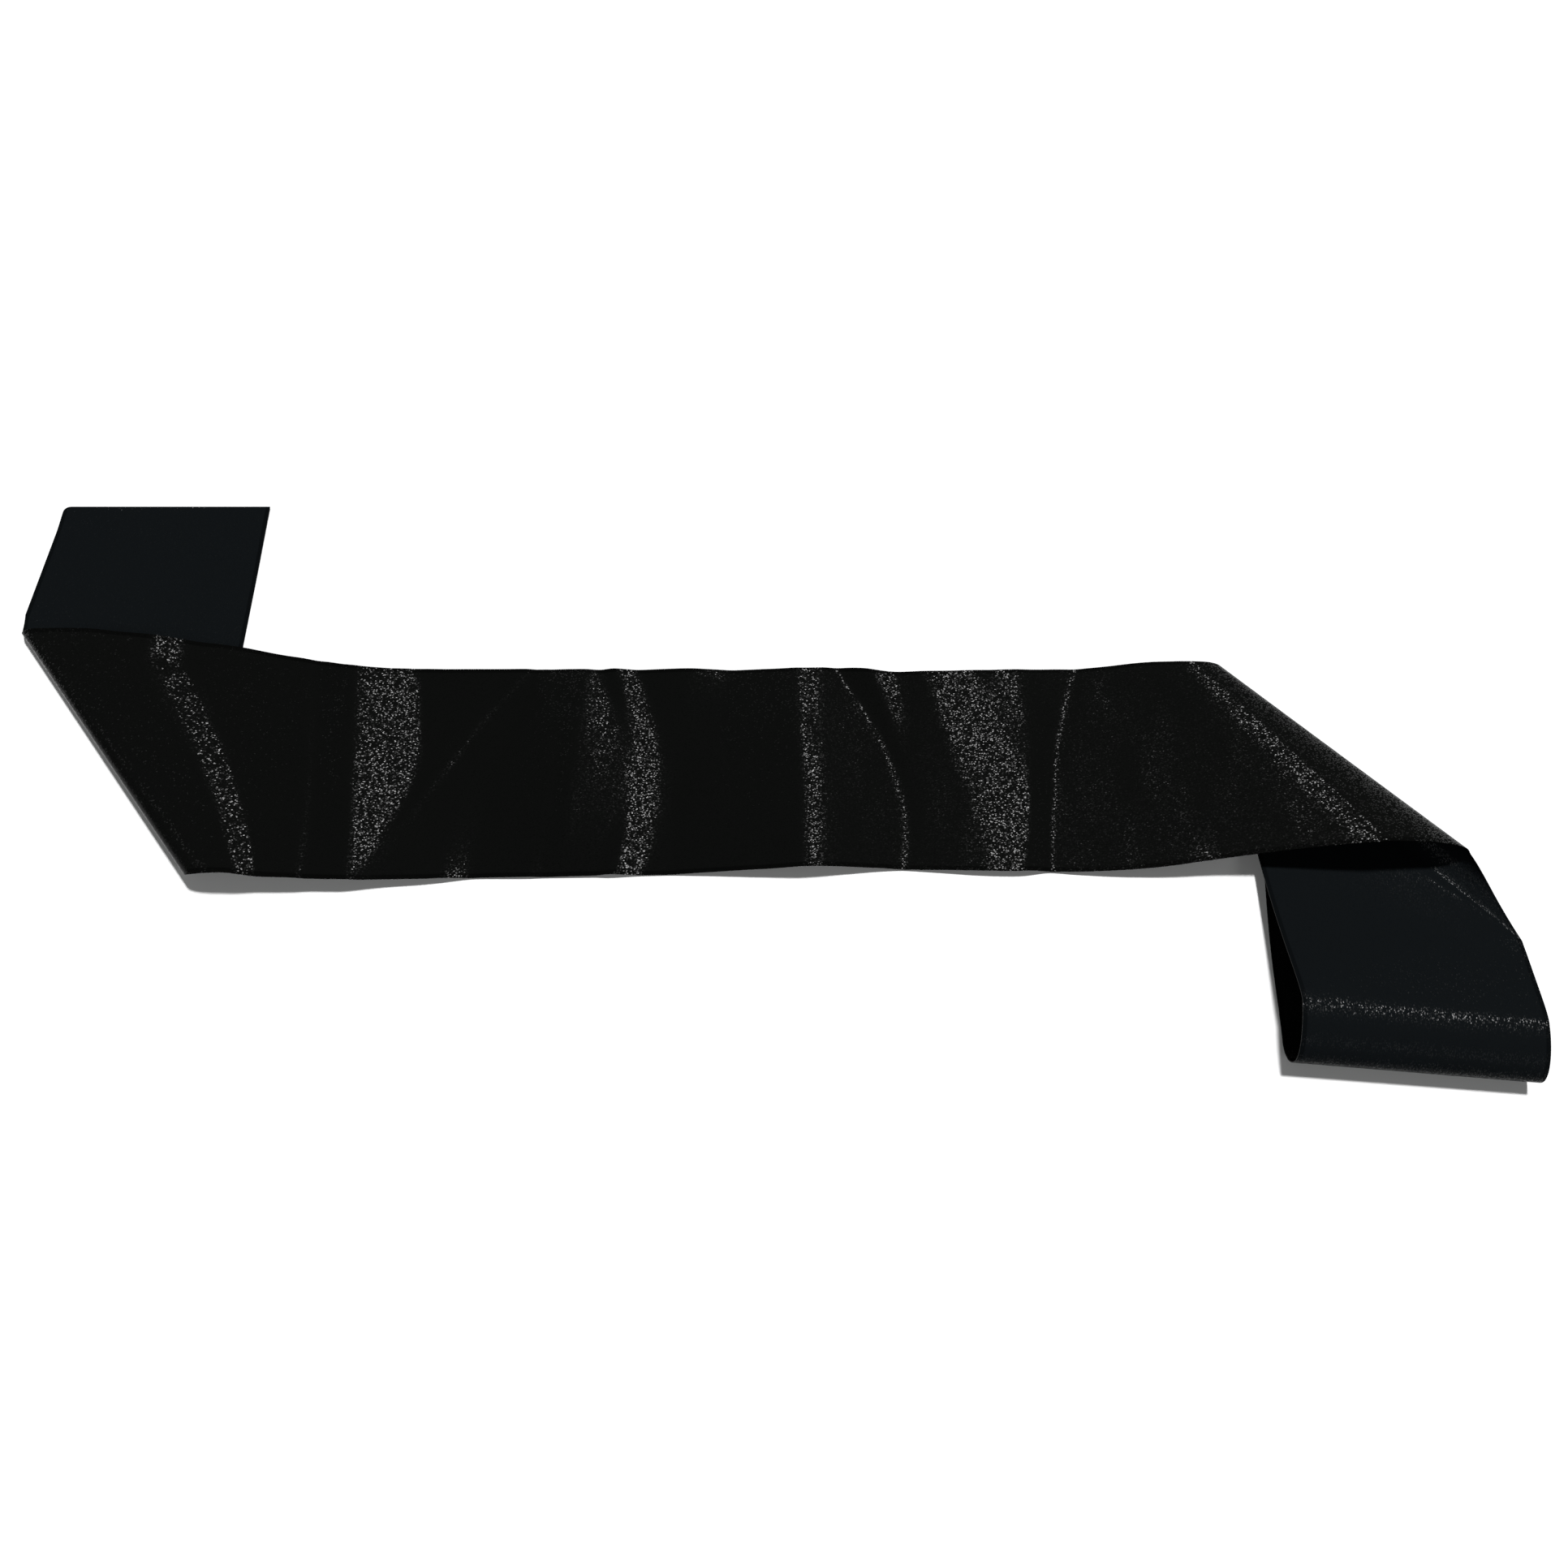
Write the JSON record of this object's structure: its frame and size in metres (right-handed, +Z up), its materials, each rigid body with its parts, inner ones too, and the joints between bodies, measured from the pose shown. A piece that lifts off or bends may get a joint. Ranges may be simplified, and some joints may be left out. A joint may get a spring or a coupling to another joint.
{
  "type": "satin sash",
  "caption": "Wide plain satin ribbon sash laid in a long flat Z, its ends turned under on diagonals and the near tail rolled back into a soft loop.",
  "frame": {"origin": "the middle of the laid sash's bounding box in plan, on the surface it lies on", "axes": "+X along the band towards the looped end, +Y away from the viewer towards the far tail's end, +Z up"},
  "size_m": [0.6454, 0.2806, 0.0266],
  "materials": {
    "satin_face": "black satin, the glossy face: smooth, with a soft bright sheen that breaks up into the fine speckle of the weave",
    "satin_reverse": "black satin, the duller back: matt, faintly bluish, with a weak sheen"
  },
  "bodies": {
    "root": {"far_tail": "satin_reverse", "far_fold": "satin_face", "middle_band": "satin_face", "near_fold": "satin_face", "near_tail": "satin_reverse", "end_roll": "satin_reverse", "under_tail": "satin_reverse"}
  },
  "joints": []
}
